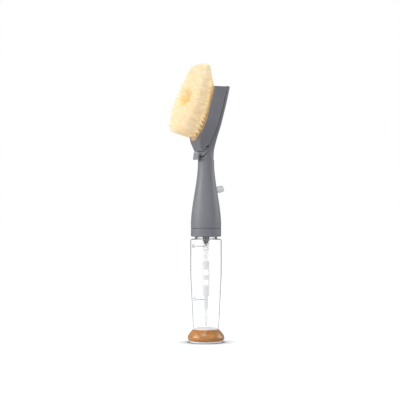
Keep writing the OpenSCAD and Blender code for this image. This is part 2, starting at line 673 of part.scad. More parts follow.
// The brush block's skin, cut by the lever's clearance below and the level top
module brush_block() color("slategray") difference() {
    head_frame() rotate([0, 0, 180]) loft([for (i = [0:20])
        let (s = mix(heel_s, head_l + 4, i / 20), front = min(block_d, mix(heel_d, block_d,
                (s - heel_s) / (chin_s - heel_s))) - 0.8 * pow(max(0, 1 - abs(s - chin_s) / 3), 2))
        [for (p = oval(block_clear, front * 0.35, front, head_half(s), 9, 7, 40)) [p[0], p[1], s]]]);
    translate([-60, -40, head_top_z]) cube([120, 80, 40]);
    // Clearance over the lever and the neck's tongue
    rotate([90, 0, 0]) translate([0, 0, -30]) linear_extrude(height = 60) polygon([
        [pivot_x - 12, pivot_z - 8], [strip_end[0] - 1.6, strip_end[1] + 1.8],
        [pivot_x - 1.6, pivot_z + 2.2], [head_x - 1.2, head_z + 0.3], [head_x + 10, head_z + 0.5],
        [pivot_x + 20, pivot_z - 20]]);
    head_frame() {
        rail(block_clear);
        translate([-2 * rail_step - block_clear, -rail_head_w - block_clear, -20])
            cube([3 * rail_step + 1, 2 * (rail_head_w + block_clear), 20 + rail_s0 + 1]);
        translate([-block_d + 4, 0, port_s]) rotate([0, 90, 0]) cylinder(r = channel_r, h = 8);
        translate([-block_d + 5, 0, port_s]) cylinder(r = channel_r, h = nozzle_s - port_s);
        translate([-block_d - 1, 0, nozzle_s]) rotate([0, 90, 0]) cylinder(r = nozzle_r, h = nozzle_in + 1);
        translate([-block_d - 1, 0, 0]) rotate([0, 90, 0]) tuft_field(1 + plate_t);
    }
}

// Outline of the bristle field as a flat slab, seen along the bristles
module tuft_field(t) {
    linear_extrude(height = t) polygon(concat(
        [for (i = [0:24]) let (s = mix(root_low - 2, root_high + 1.4, i / 24)) [-s, field_half(s) + 0.8]],
        [for (i = [24:-1:0]) let (s = mix(root_low - 2, root_high + 1.4, i / 24)) [-s, -field_half(s) - 0.8]]));
}

// Half width of the bristle field: it follows the block and rounds off at the bottom
function field_half(s) = let (h = head_half(s) - field_margin - 1.2, q = max(0, (root_low + 9.6 - s) / 12))
    h * (q >= 1 ? 0 : sqrt(1 - q * q));

// Places of the tufts in rows that fill the field from end to end
row_low = root_low + 1.5;
row_high = root_high - 1.73;
rows = round((row_high - row_low) / (tuft_pitch * 0.9));
tufts = [for (row = [0:rows])
    let (s = mix(row_low, row_high, row / rows), h = field_half(s) - 0.9, n = floor(2 * h / tuft_pitch))
    for (i = [0:n]) let (y = n == 0 ? 0 : h * (2 * i / n - 1))
        if (norm([s - nozzle_s, y]) > nozzle_patch_r) [s, y, (i == 0 || i == n || row == 0) ? 1 : 0]];

// A point of a strand, from 0 at its root to 1 at its tip, in the head's frame
function strand_point(s, y, u) =
    let (up = mix(low_splay, high_splay, (s - root_low) / (root_high - root_low)),
        out = side_splay * y / head_w, l = bristle_l * u)
    [-block_d - l * cos(up) * cos(out), y + l * sin(out), s + l * sin(up) * cos(out)];

module strand(s, y, ds, dy, width) {
    root = strand_point(s, y, -0.05) + [0, dy * root_spread, ds * root_spread];
    tip = strand_point(s, y, 1) + [0, dy * tip_spread, ds * tip_spread];
    loft_path([for (e = [[root, width * 0.6], [tip, width]])
        [for (j = [0:2]) e[0] + e[1] * [0, cos(120 * j), sin(120 * j)]]], true);
}

module bristles(outer) {
    for (t = tufts) if (t[2] == (outer ? 1 : 0))
        for (k = [0:strands - 1]) let (a = 360 * k / strands + 40 * t[0])
            strand(t[0], t[1], cos(a), sin(a), strand_r);
}

module backing() {
    head_frame() difference() {
        translate([-block_d, 0, 0]) rotate([0, 90, 0]) tuft_field(plate_t);
        translate([-block_d - 1, 0, nozzle_s]) rotate([0, 90, 0]) cylinder(r = nozzle_r, h = plate_t + 3);
    }
}

// Slab that parts the inner tufts' backing from the outer ring
module inner_zone() {
    translate([-block_d - 1, 0, 0]) rotate([0, 90, 0]) linear_extrude(height = plate_t + 2) polygon(concat(
        [for (i = [0:16]) let (s = mix(root_low + 3.2, root_high - 1.6, i / 16))
            [-s, max(0.5, field_half(s) - 2.6)]],
        [for (i = [16:-1:0]) let (s = mix(root_low + 3.2, root_high - 1.6, i / 16))
            [-s, -max(0.5, field_half(s) - 2.6)]]));
}

module outer_bristles() color("moccasin") {
    difference() { backing(); head_frame() inner_zone(); }
    head_frame() bristles(true);
}

module inner_bristles() color("wheat") {
    intersection() { backing(); head_frame() inner_zone(); }
    head_frame() bristles(false);
}

module soap_nozzle() color("khaki")
    head_frame() translate([-block_d, 0, nozzle_s]) rotate([0, 90, 0]) difference() {
        union() {
            translate([0, 0, -nozzle_out]) cylinder(r1 = 1.8, r2 = nozzle_r - 0.02, h = nozzle_out);
            cylinder(r = nozzle_r - 0.02, h = nozzle_in);
        }
        translate([0, 0, -nozzle_out - 1]) cylinder(r = channel_r, h = nozzle_out + nozzle_in + 2);
    }

foot_pad();
bamboo_base();
seat_disc();
reservoir();
neck_gasket();
collar();
handle();
port_seal();
pump_flange();
air_vent();
valve_housing();
inlet_ball();
inlet_spring();
lower_barrel();
sight_sleeve();
foot_ball();
dip_tube();
riser_tube();
pump_cylinder();
button();
plunger_seal();
return_spring();
button_bush();
outlet_body();
outlet_ball();
delivery_tube();
release_lever();
lever_pin();
lever_spring();
brush_block();
outer_bristles();
inner_bristles();
soap_nozzle();
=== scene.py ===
"""Looks for a soap dispensing dish wand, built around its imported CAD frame."""

import json
import logging
import math
from dataclasses import dataclass, replace
from enum import Enum
from typing import Optional

import bmesh
import bpy
from mathutils import Matrix, Vector

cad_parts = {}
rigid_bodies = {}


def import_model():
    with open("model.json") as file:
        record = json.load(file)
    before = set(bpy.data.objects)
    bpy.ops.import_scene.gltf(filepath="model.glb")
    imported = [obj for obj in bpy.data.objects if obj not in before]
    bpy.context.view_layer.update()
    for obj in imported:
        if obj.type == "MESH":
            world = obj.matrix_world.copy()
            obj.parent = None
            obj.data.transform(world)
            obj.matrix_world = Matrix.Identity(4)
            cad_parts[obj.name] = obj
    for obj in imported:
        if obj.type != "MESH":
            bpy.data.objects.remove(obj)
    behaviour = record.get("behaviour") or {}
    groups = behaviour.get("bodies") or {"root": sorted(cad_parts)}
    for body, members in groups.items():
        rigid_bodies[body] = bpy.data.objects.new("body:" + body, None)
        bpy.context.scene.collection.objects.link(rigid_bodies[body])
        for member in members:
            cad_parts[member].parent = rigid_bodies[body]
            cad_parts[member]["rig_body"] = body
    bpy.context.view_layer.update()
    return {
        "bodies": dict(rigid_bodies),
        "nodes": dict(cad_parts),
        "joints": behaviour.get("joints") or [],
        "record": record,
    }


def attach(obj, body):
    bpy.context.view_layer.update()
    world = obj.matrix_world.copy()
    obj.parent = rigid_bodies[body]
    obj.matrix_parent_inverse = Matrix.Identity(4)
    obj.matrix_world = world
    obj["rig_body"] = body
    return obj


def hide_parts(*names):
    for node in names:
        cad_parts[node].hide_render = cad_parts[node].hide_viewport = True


LOG = logging.getLogger("dish_wand")
Colour = Triple = tuple[float, float, float]
Pair = tuple[float, float]
MM = 0.001
PLASTIC_IOR = 1.46
COAT_ROUGHNESS = 0.22
LIGHT_REACH = 4.0 * MM
GRAIN_HEIGHT = 0.2 * MM
PATCH_NOISE = {"Detail": 4.0, "Roughness": 0.55}
PATCH_RANGE = (0.35, 0.65)
ROUGH_RANGE = (0.3, 0.7)
GRAIN_NOISE = {"Detail": 2.0, "Roughness": 0.6}
COIL_ANGLE = 60.0


class Body(Enum):
    """The moving bodies that pieces without a CAD node of their own ride on."""

    RESERVOIR = "reservoir_unit"
    BRUSH = "brush_unit"


class Slot(Enum):
    """The record's material slots, which each skin lists beside its finish."""

    BAMBOO = "bamboo"
    BRISTLE = "bristle"
    CLEAR = "clear_plastic"
    FROSTED = "frosted_plastic"
    GREY = "grey_plastic"
    LEVER = "lever_plastic"
    RUBBER = "dark_rubber"
    SILICONE = "white_silicone"
    STEEL = "spring_steel"
    VALVE_BALL = "valve_ball"
    WHITE = "white_plastic"


def smooth(u: float) -> float:
    """A ramp from 0 to 1 without a corner at either end."""
    v = min(max(u, 0.0), 1.0)
    return v * v * (3.0 - 2.0 * v)


def mix(a: float, b: float, k: float) -> float:
    """The value a share k of the way from a to b."""
    return a + (b - a) * k


def rgba(colour: Colour) -> tuple[float, float, float, float]:
    """A colour with full opacity."""
    return (*colour, 1.0)


@dataclass(frozen=True)
class HeadFrame:
    """The brush head's own directions and the outline of its block.

    s runs up the seam between block and spine, d from the seam towards the bristle tips, and y across.
    """

    x: float = -1.3 * MM
    z: float = 196.0 * MM
    tilt: float = math.radians(16.0)
    foot_s: float = -10.0 * MM
    full_s: float = 24.0 * MM
    narrowing_s: float = 35.0 * MM
    top_s: float = 61.4 * MM
    foot_half: float = 7.8 * MM
    full_half: float = 18.0 * MM
    narrowing: float = 1.8 * MM

    def up(self) -> Vector:
        """Unit vector up the seam."""
        return Vector((math.sin(self.tilt), 0.0, math.cos(self.tilt)))

    def out(self) -> Vector:
        """Unit vector from the seam towards the bristles."""
        return Vector((-math.cos(self.tilt), 0.0, math.sin(self.tilt)))

    def point(self, s: float, d: float, y: float) -> Vector:
        """Place of a point of the head.

        Args:
            s: Distance up the seam, in metres.
            d: Distance from the seam towards the bristles, in metres.
            y: Distance from the wand's plane of symmetry, in metres.

        Returns:
            The point in the row's frame.
        """
        return Vector((self.x, 0.0, self.z)) + self.up() * s + self.out() * d + Vector((0.0, y, 0.0))

    def half(self, s: float) -> float:
        """Half width of the block.

        Args:
            s: Distance up the seam, in metres.

        Returns:
            The half width, in metres.
        """
        if s < self.narrowing_s:
            widening = smooth((s - self.foot_s) / (self.full_s - self.foot_s))
            return mix(self.foot_half, self.full_half, widening)
        above = (s - self.narrowing_s) / (self.top_s - self.narrowing_s)
        return self.full_half - self.narrowing * above ** 2


class NodeSheet:
    """A short way to place and join nodes in one tree."""

    def __init__(self, tree: bpy.types.NodeTree) -> None:
        """Starts with the tree's own nodes and links."""
        self.tree = tree

    def add(self, kind: str, values: Optional[dict] = None, **settings: object) -> bpy.types.Node:
        """Adds a node.

        Args:
            kind: The node's type name.
            values: Input socket names or numbers, each with its value or the socket to link.
            settings: Properties of the node itself.

        Returns:
            The new node.
        """
        node = self.tree.nodes.new(kind)
        for name, value in settings.items():
            setattr(node, name, value)
        self.feed(node, values or {})
        return node

    def feed(self, node: bpy.types.Node, values: dict) -> None:
        """Sets or links inputs of a node.

        Args:
            node: The node.
            values: Input socket names or numbers, each with its value or the socket to link.
        """
        for key, value in values.items():
            if isinstance(value, bpy.types.NodeSocket):
                self.tree.links.new(value, node.inputs[key])
            else:
                node.inputs[key].default_value = value

    def ramp(self, value: bpy.types.NodeSocket, start: Pair = (0.0, 1.0),
             end: tuple = (0.0, 1.0), **settings: object) -> bpy.types.NodeSocket:
        """Maps a value from one range to another.

        Args:
            value: The value.
            start: The range it comes in.
            end: The range it goes to, as numbers or sockets.
            settings: Properties of the Map Range node.

        Returns:
            The mapped value.
        """
        ranges = {"Value": value, "From Min": start[0], "From Max": start[1],
                  "To Min": end[0], "To Max": end[1]}
        return self.add("ShaderNodeMapRange", ranges, **settings).outputs["Result"]

    def blend(self, share: bpy.types.NodeSocket, a: object, b: object) -> bpy.types.NodeSocket:
        """Mixes two colours, by the Mix node's own numbers for its share and its two colours.

        Args:
            share: Share of the second colour.
            a: The first colour, as a value or a socket.
            b: The second colour, as a value or a socket.

        Returns:
            The mixed colour.
        """
        return self.add("ShaderNodeMix", {0: share, 6: a, 7: b}, data_type="RGBA").outputs[2]

    def vector(self, operation: str, a: object, b: object) -> bpy.types.NodeSocket:
        """Adds a vector operation on two vectors.

        Args:
            operation: The operation's name.
            a: The first vector.
            b: The second vector.

        Returns:
            The resulting vector.
        """
        return self.add("ShaderNodeVectorMath", {0: a, 1: b}, operation=operation).outputs["Vector"]

    def scaled(self, vector: bpy.types.NodeSocket, factor: bpy.types.NodeSocket) -> bpy.types.NodeSocket:
        """A vector times a number."""
        values = {0: vector, "Scale": factor}
        return self.add("ShaderNodeVectorMath", values, operation="SCALE").outputs["Vector"]

    def length(self, vector: bpy.types.NodeSocket) -> bpy.types.NodeSocket:
        """The length of a vector."""
        return self.add("ShaderNodeVectorMath", {0: vector}, operation="LENGTH").outputs["Value"]

    def number(self, operation: str, *values: object) -> bpy.types.NodeSocket:
        """The result of an operation on numbers."""
        return self.add("ShaderNodeMath", dict(enumerate(values)), operation=operation).outputs["Value"]

    def stretched(self, place: bpy.types.NodeSocket, scale: Triple, rotation: Triple) -> bpy.types.NodeSocket:
        """A place turned and stretched, so that a pattern on it runs lengthwise."""
        values = {"Vector": place, "Rotation": rotation, "Scale": scale}
        return self.add("ShaderNodeMapping", values).outputs["Vector"]


def cleared(owner: bpy.types.ID) -> NodeSheet:
    """Empties the nodes of a material or a world.

    Args:
        owner: The material or world.

    Returns:
        Its empty sheet.
    """
    owner.use_nodes = True
    owner.node_tree.nodes.clear()
    return NodeSheet(owner.node_tree)


def mottle_group() -> bpy.types.NodeTree:
    """Node group that varies a colour and a roughness with soft patches and gives a fine grain.

    Returns:
        The group, built once and shared by the finishes.
    """
    name = "surface_mottle"
    if name in bpy.data.node_groups:
        return bpy.data.node_groups[name]
    tree = bpy.data.node_groups.new(name, "ShaderNodeTree")
    for label, kind in (("Vector", "Vector"), ("Base", "Color"), ("Patch", "Color"), ("Patch Scale", "Float"),
                        ("Grain Scale", "Float"), ("Rough Low", "Float"), ("Rough High", "Float")):
        tree.interface.new_socket(name=label, in_out="INPUT", socket_type="NodeSocket" + kind)
    for label, kind in (("Color", "Color"), ("Roughness", "Float"), ("Grain", "Float")):
        tree.interface.new_socket(name=label, in_out="OUTPUT", socket_type="NodeSocket" + kind)
    sheet = NodeSheet(tree)
    given = sheet.add("NodeGroupInput").outputs
    patch, grain = (sheet.add("ShaderNodeTexNoise", {"Vector": given["Vector"], "Scale": given[scale],
                                                     **noise}).outputs["Fac"]
                    for scale, noise in (("Patch Scale", PATCH_NOISE), ("Grain Scale", GRAIN_NOISE)))
    colour = sheet.blend(sheet.ramp(patch, PATCH_RANGE), given["Base"], given["Patch"])
    rough = sheet.ramp(patch, ROUGH_RANGE, (given["Rough Low"], given["Rough High"]))
    sheet.add("NodeGroupOutput", {"Color": colour, "Roughness": rough, "Grain": grain})
    return tree


@dataclass(frozen=True)
class Finish:
    """A finish with soft patches of a second colour and a fine moulded grain."""

    name: str
    base: Colour
    patch: Colour
    rough: Pair = (0.35, 0.5)
    patch_scale: float = 45.0
    grain_scale: float = 1800.0
    grain_depth: float = 0.03
    metallic: float = 0.0
    coat: float = 0.0
    subsurface: float = 0.0
    # glow makes the finish emit its own colour: painted light, as no piece of the wand is a lamp.
    glow: float = 0.0

    def material(self) -> bpy.types.Material:
        """The finish as a node material, made on its first use.

        Returns:
            The material.
        """
        found = bpy.data.materials.get(self.name)
        if found:
            return found
        made = bpy.data.materials.new(self.name)
        sheet = cleared(made)
        place = sheet.add("ShaderNodeTexCoord").outputs["Object"]
        shader = sheet.add("ShaderNodeBsdfPrincipled", {
            "Metallic": self.metallic, "IOR": PLASTIC_IOR, "Coat Weight": self.coat,
            "Coat Roughness": COAT_ROUGHNESS, "Subsurface Weight": self.subsurface,
            "Subsurface Scale": LIGHT_REACH, "Emission Strength": self.glow})
        self.paint(sheet, place, shader)
        sheet.add("ShaderNodeOutputMaterial", {"Surface": shader.outputs["BSDF"]})
        return made

    def paint(self, sheet: NodeSheet, place: bpy.types.NodeSocket, shader: bpy.types.Node) -> None:
        """Feeds the shader its colour, roughness and bump.

        Args:
            sheet: The material's nodes.
            place: Object coordinates.
            shader: The Principled BSDF.
        """
        values = {"Vector": place, "Base": rgba(self.base), "Patch": rgba(self.patch),
                  "Patch Scale": self.patch_scale, "Grain Scale": self.grain_scale,
                  "Rough Low": self.rough[0], "Rough High": self.rough[1]}
        mottle = sheet.add("ShaderNodeGroup", values, node_tree=mottle_group())
        bump = sheet.add("ShaderNodeBump", {"Height": mottle.outputs["Grain"], "Distance": GRAIN_HEIGHT,
                                            "Strength": self.grain_depth})
        sheet.feed(shader, {"Roughness": mottle.outputs["Roughness"], "Normal": bump.outputs["Normal"]})
        self.colour(sheet, mottle.outputs["Color"], shader)

    def colour(self, sheet: NodeSheet, tone: bpy.types.NodeSocket, shader: bpy.types.Node) -> None:
        """Feeds the shader a colour, and the same colour to its glow, which is painted light, where the
        finish has one.

        Args:
            sheet: The material's nodes.
            tone: The colour.
            shader: The Principled BSDF.
        """
        sheet.feed(shader, {"Base Color": tone})
        if self.glow > 0.0:
            sheet.feed(shader, {"Emission Color": tone})


@dataclass(frozen=True)
class ClearFinish(Finish):
    """Thin clear plastic: nearly unseen where it faces the eye, with painted grey shade at its edges.

    haze and edge are its opacity in the middle and at the edge, start and full say how far from facing the
    eye the edge begins and ends, and light_stop is the share of its opacity that holds light back.
    """

    # painted_edge_shade is painted shade at the edges, standing in for light that the clear wall bends away.
    painted_edge_shade: Colour = (0.06, 0.062, 0.065)
    haze: float = 0.03
    edge: float = 0.6
    start: float = 0.6
    full: float = 0.85
    light_stop: float = 0.12

    def paint(self, sheet: NodeSheet, place: bpy.types.NodeSocket, shader: bpy.types.Node) -> None:
        """Feeds the shader its haze in the middle and its painted grey shade at the edges.

        Args:
            sheet: The material's nodes.
            place: Object coordinates.
            shader: The Principled BSDF.
        """
        super().paint(sheet, place, shader)
        # The grey blended in towards the silhouette is painted shade.
        facing = sheet.add("ShaderNodeLayerWeight", {"Blend": 0.5}).outputs["Facing"]
        edge = sheet.ramp(facing, (self.start, self.full))
        plain = shader.inputs["Base Color"].links[0].from_socket
        self.colour(sheet, sheet.blend(edge, plain, rgba(self.painted_edge_shade)), shader)
        veil = sheet.ramp(edge, end=(self.haze, self.edge))
        shadow = sheet.add("ShaderNodeLightPath").outputs["Is Shadow Ray"]
        kept = sheet.number("MULTIPLY_ADD", shadow, self.light_stop - 1.0, 1.0)
        sheet.feed(shader, {"Alpha": sheet.number("MULTIPLY", veil, kept)})


@dataclass(frozen=True)
class BambooFinish(Finish):
    """Varnished bamboo: laminated strips across the piece with fine dark fibre flecks."""

    dark: Colour = (0.36, 0.155, 0.04)
    strip: float = 7.0 * MM
    turn: Triple = (0.0, 0.0, 0.5)
    fibre_scale: Triple = (55.0, 420.0, 420.0)
    fibre_detail: float = 6.0
    fibre_roughness: float = 0.62
    fibre_distortion: float = 0.4
    fibre_stops: Pair = (0.32, 0.68)
    fleck_scale: Triple = (160.0, 900.0, 900.0)
    fleck_range: Pair = (0.08, 0.3)
    fleck_strength: float = 0.55
    strip_waves: float = 0.55
    strip_detail: float = 1.0
    strip_range: Pair = (0.42, 0.58)
    strip_strength: float = 0.55
    depth: float = 0.12

    def paint(self, sheet: NodeSheet, place: bpy.types.NodeSocket, shader: bpy.types.Node) -> None:
        """Feeds the shader its strips, fibres and flecks.

        Args:
            sheet: The material's nodes.
            place: Object coordinates.
            shader: The Principled BSDF.
        """
        fibre = sheet.add("ShaderNodeTexNoise", {
            "Vector": sheet.stretched(place, self.fibre_scale, self.turn), "Scale": 1.0,
            "Detail": self.fibre_detail, "Roughness": self.fibre_roughness,
            "Distortion": self.fibre_distortion}).outputs["Fac"]
        fleck = sheet.add("ShaderNodeTexVoronoi", {
            "Vector": sheet.stretched(place, self.fleck_scale, self.turn), "Scale": 1.0}).outputs["Distance"]
        strips = sheet.add("ShaderNodeTexNoise", {"Vector": place, "Scale": self.strip_waves / self.strip,
                                                  "Detail": self.strip_detail}).outputs["Fac"]
        tone = sheet.add("ShaderNodeValToRGB", {"Fac": fibre})
        stops = zip(tone.color_ramp.elements, self.fibre_stops, (self.patch, self.base))
        for stop, position, colour in stops:
            stop.position = position
            stop.color = rgba(colour)
        dark = rgba(self.dark)
        flecks = sheet.ramp(fleck, self.fleck_range, (self.fleck_strength, 0.0))
        flecked = sheet.blend(flecks, tone.outputs["Color"], dark)
        banded = sheet.blend(sheet.ramp(strips, self.strip_range, (0.0, self.strip_strength)), flecked, dark)
        bump = sheet.add("ShaderNodeBump", {"Height": fibre, "Distance": GRAIN_HEIGHT,
                                            "Strength": self.depth})
        sheet.feed(shader, {"Roughness": sheet.ramp(fibre, end=self.rough), "Normal": bump.outputs["Normal"]})
        self.colour(sheet, banded, shader)


@dataclass(frozen=True)
class BristleFinish(Finish):
    """Filaments with pale tips, painted shade that darkens them to brown at the roots, and painted warm
    orange shade in the nozzle's hollow.

    root_depth and fade say where the painted shade at the roots starts to lift and how far it runs, in
    metres. The painted hollow shade fills a slanting column, with full strength inside the first of
    hollow_radii and none beyond the second.
    """

    # root is painted shade deep among the roots, and hollow is painted warm orange shade in the nozzle's
    # hollow.
    root: Colour = (0.32, 0.17, 0.07)
    streak: Colour = (0.52, 0.40, 0.20)
    hollow: Colour = (0.74, 0.44, 0.10)
    hollow_place: Triple = (30.0 * MM, 14.0 * MM, 4.0 * MM)
    hollow_rise: float = math.radians(31.2)
    hollow_radii: Pair = (6.0 * MM, 10.5 * MM)
    hollow_strength: float = 0.95
    streak_scale: Triple = (50.0, 420.0, 420.0)
    streak_detail: float = 3.0
    streak_range: Pair = (0.42, 0.6)
    streak_strength: float = 0.7
    middle: float = 0.45
    root_depth: float = 13.5 * MM
    fade: float = 9.0 * MM
    head: HeadFrame = HeadFrame()

    def paint(self, sheet: NodeSheet, place: bpy.types.NodeSocket, shader: bpy.types.Node) -> None:
        """Feeds the shader a tone that follows each strand from root to tip.

        Args:
            sheet: The material's nodes.
            place: Object coordinates.
            shader: The Principled BSDF.
        """
        noise = sheet.add("ShaderNodeTexNoise", {
            "Vector": sheet.stretched(place, self.streak_scale, (0.0, self.head.tilt, 0.0)), "Scale": 1.0,
            "Detail": self.streak_detail}).outputs["Fac"]
        streaks = sheet.ramp(noise, self.streak_range, (0.0, self.streak_strength))
        streaked = sheet.blend(streaks, self.along(sheet, place), rgba(self.streak))
        # Painted warm orange shade in the nozzle's hollow, over the strands' tone.
        hollow_shaded = sheet.blend(self.hollow_shade_share(sheet, place), streaked, rgba(self.hollow))
        sheet.feed(shader, {"Roughness": sheet.ramp(noise, end=self.rough)})
        self.colour(sheet, hollow_shaded, shader)

    def along(self, sheet: NodeSheet, place: bpy.types.NodeSocket) -> bpy.types.NodeSocket:
        """The colour by distance from the roots, darkened by painted shade towards them.

        Args:
            sheet: The material's nodes.
            place: Object coordinates.

        Returns:
            The colour.
        """
        origin = tuple(self.head.point(0.0, self.root_depth, 0.0))
        reach = sheet.add("ShaderNodeVectorMath", {0: sheet.vector("SUBTRACT", place, origin),
                                                   1: tuple(self.head.out() / self.fade)},
                          operation="DOT_PRODUCT").outputs["Value"]
        # The root colour is painted shade, darkest at the roots and lifting towards the tips.
        tone = sheet.add("ShaderNodeValToRGB", {"Fac": reach})
        tone.color_ramp.elements[0].color = rgba(self.root)
        tone.color_ramp.elements[1].color = rgba(self.base)
        tone.color_ramp.elements.new(self.middle).color = rgba(self.patch)
        return tone.outputs["Color"]

    def hollow_shade_share(self, sheet: NodeSheet, place: bpy.types.NodeSocket) -> bpy.types.NodeSocket:
        """The strength of the painted warm shade round the hollow.

        Args:
            sheet: The material's nodes.
            place: Object coordinates.

        Returns:
            The tint's share.
        """
        axis = self.head.out() * math.cos(self.hollow_rise) + self.head.up() * math.sin(self.hollow_rise)
        off = sheet.vector("SUBTRACT", place, tuple(self.head.point(*self.hollow_place)))
        aside = sheet.vector("SUBTRACT", off, sheet.vector("PROJECT", off, tuple(axis)))
        return sheet.ramp(sheet.length(aside), self.hollow_radii, (self.hollow_strength, 0.0),
                          interpolation_type="SMOOTHSTEP")


GREY_PLASTIC = Finish("grey_moulded_plastic", (0.168, 0.170, 0.186), (0.180, 0.182, 0.198),
                      rough=(0.42, 0.52), grain_scale=2600.0, grain_depth=0.05)
LEVER_PLASTIC = Finish("light_grey_lever_plastic", (0.235, 0.238, 0.248), (0.25, 0.253, 0.263),
                       rough=(0.4, 0.5), grain_depth=0.05)
CLEAR_PLASTIC = ClearFinish("clear_reservoir_plastic", (0.90, 0.91, 0.92), (0.85, 0.86, 0.875),
                            rough=(0.03, 0.06), grain_scale=60.0, grain_depth=0.02, edge=0.68, full=0.78)
CLEAR_INSIDE = replace(CLEAR_PLASTIC, name="clear_reservoir_inside", haze=0.01, edge=0.1, full=0.85)
# The shoulder's stronger edge shade is painted shade, standing in for the collar seen bent through the thick
# plastic.
CLEAR_SHOULDER = replace(CLEAR_PLASTIC, name="clear_reservoir_shoulder", haze=0.16, edge=0.72, start=0.2,
                         full=0.5)
INNER_CLEAR = ClearFinish("clear_tube_plastic", (0.80, 0.81, 0.82), (0.74, 0.75, 0.765), rough=(0.1, 0.2),
                          grain_depth=0.02, painted_edge_shade=(0.25, 0.253, 0.256), haze=0.12, edge=0.7, start=0.35,
                          full=0.7)
CLEAR_HOUSING = ClearFinish("clear_valve_plastic", (0.72, 0.73, 0.74), (0.66, 0.67, 0.68), rough=(0.1, 0.2),
                            grain_depth=0.02, painted_edge_shade=(0.34, 0.345, 0.35), haze=0.1, start=0.5)
# The sleeve's glow is painted light that keeps it bright white.
SLEEVE_WHITE = Finish("sight_sleeve_plastic", (0.85, 0.85, 0.85), (0.80, 0.805, 0.81), rough=(0.1, 0.2),
                      glow=0.6)
# The barrel's strong glow is painted light that evens out its shading.
FROSTED = Finish("frosted_pump_plastic", (0.30, 0.303, 0.306), (0.28, 0.283, 0.287), rough=(0.4, 0.55),
                 glow=1.6)
WHITE_PLASTIC = Finish("white_moulded_plastic", (0.80, 0.80, 0.80), (0.76, 0.76, 0.77), rough=(0.25, 0.4),
                       subsurface=0.1)
BUTTON_PLASTIC = Finish("translucent_button_plastic", (0.74, 0.75, 0.765), (0.68, 0.69, 0.705),
                        rough=(0.2, 0.32), subsurface=0.2)
WHITE_SILICONE = Finish("white_silicone", (0.74, 0.74, 0.75), (0.69, 0.69, 0.71), rough=(0.45, 0.6),
                        subsurface=0.1)
DARK_RUBBER = Finish("dark_seal_rubber", (0.03, 0.03, 0.032), (0.045, 0.045, 0.047), rough=(0.5, 0.7))
SPRING_STEEL = Finish("spring_steel_wire", (0.22, 0.22, 0.225), (0.32, 0.32, 0.33), rough=(0.2, 0.35),
                      metallic=1.0)
# The balls' glow is painted light that brightens their middles, and their dark edge colour is painted shade
# that draws their rims.
BALL_GLASS = ClearFinish("valve_ball_glass", (0.92, 0.925, 0.93), (0.88, 0.885, 0.89), rough=(0.03, 0.06),
                         painted_edge_shade=(0.04, 0.041, 0.043), haze=0.75, edge=1.0, start=0.4, full=0.7, glow=0.45)
MARK_INK = Finish("grey_mark_ink", (0.10, 0.10, 0.11), (0.16, 0.16, 0.17), rough=(0.4, 0.6))
# The plate's brown is painted shade, standing in for the shadow between the tufts' roots.
PLATE_SHADE = Finish("tuft_plate_painted_shade", (0.62, 0.46, 0.30), (0.54, 0.38, 0.24), rough=(0.5, 0.65))
BAMBOO = BambooFinish("varnished_bamboo", (0.64, 0.28, 0.065), (0.33, 0.12, 0.02), rough=(0.30, 0.42),
                      coat=0.5)
# The bristles' glow is painted light, standing in for light passing through the strands.
BRISTLE = BristleFinish("cream_bristle", (0.57, 0.505, 0.375), (0.70, 0.59, 0.38), rough=(0.4, 0.6),
                        subsurface=0.3, glow=0.56)


def put(name: str, data: bpy.types.ID) -> bpy.types.Object:
    """Puts a new object into the scene.

    Args:
        name: The object's name.
        data: Its mesh, text, lamp or camera.

    Returns:
        The new object.
    """
    made = bpy.data.objects.new(name, data)
    bpy.context.scene.collection.objects.link(made)
    return made


def piece(name: str, mesh: bpy.types.Mesh, finish: Finish) -> bpy.types.Object:
    """Puts a mesh into the scene as a piece of the wand.

    Args:
        name: The piece's name.
        mesh: Its mesh, in the row's frame.
        finish: Its finish.

    Returns:
        The new object.
    """
    mesh.materials.clear()
    mesh.materials.append(finish.material())
    LOG.info("%s in %s", name, finish.name)
    return put(name, mesh)


def mesh_of(name: str, work: bmesh.types.BMesh) -> bpy.types.Mesh:
    """Turns a closed working mesh into a mesh whose faces point outwards.

    Args:
        name: The mesh's name.
        work: The working mesh, which is freed.

    Returns:
        The mesh.
    """
    bmesh.ops.recalc_face_normals(work, faces=work.faces)
    mesh = bpy.data.meshes.new(name)
    work.to_mesh(mesh)
    work.free()
    return mesh


def soften(mesh: bpy.types.Mesh, angle: float) -> None:
    """Shades a mesh smooth but for edges that turn by more than an angle in degrees."""
    mesh.shade_smooth()
    mesh.set_sharp_from_angle(angle=math.radians(angle))


def evaluated(source: bpy.types.Object) -> bpy.types.Mesh:
    """The plain mesh that an object shows with its modifiers.

    Args:
        source: The object.

    Returns:
        A new mesh.
    """
    bpy.context.view_layer.update()
    graph = bpy.context.evaluated_depsgraph_get()
    return bpy.data.meshes.new_from_object(source.evaluated_get(graph), depsgraph=graph)


def settle(source: bpy.types.Object) -> None:
    """Gives an object with modifiers the plain mesh that they make, and takes the modifiers off.

    Args:
        source: The object.
    """
    made = evaluated(source)
    source.modifiers.clear()
    source.data = made


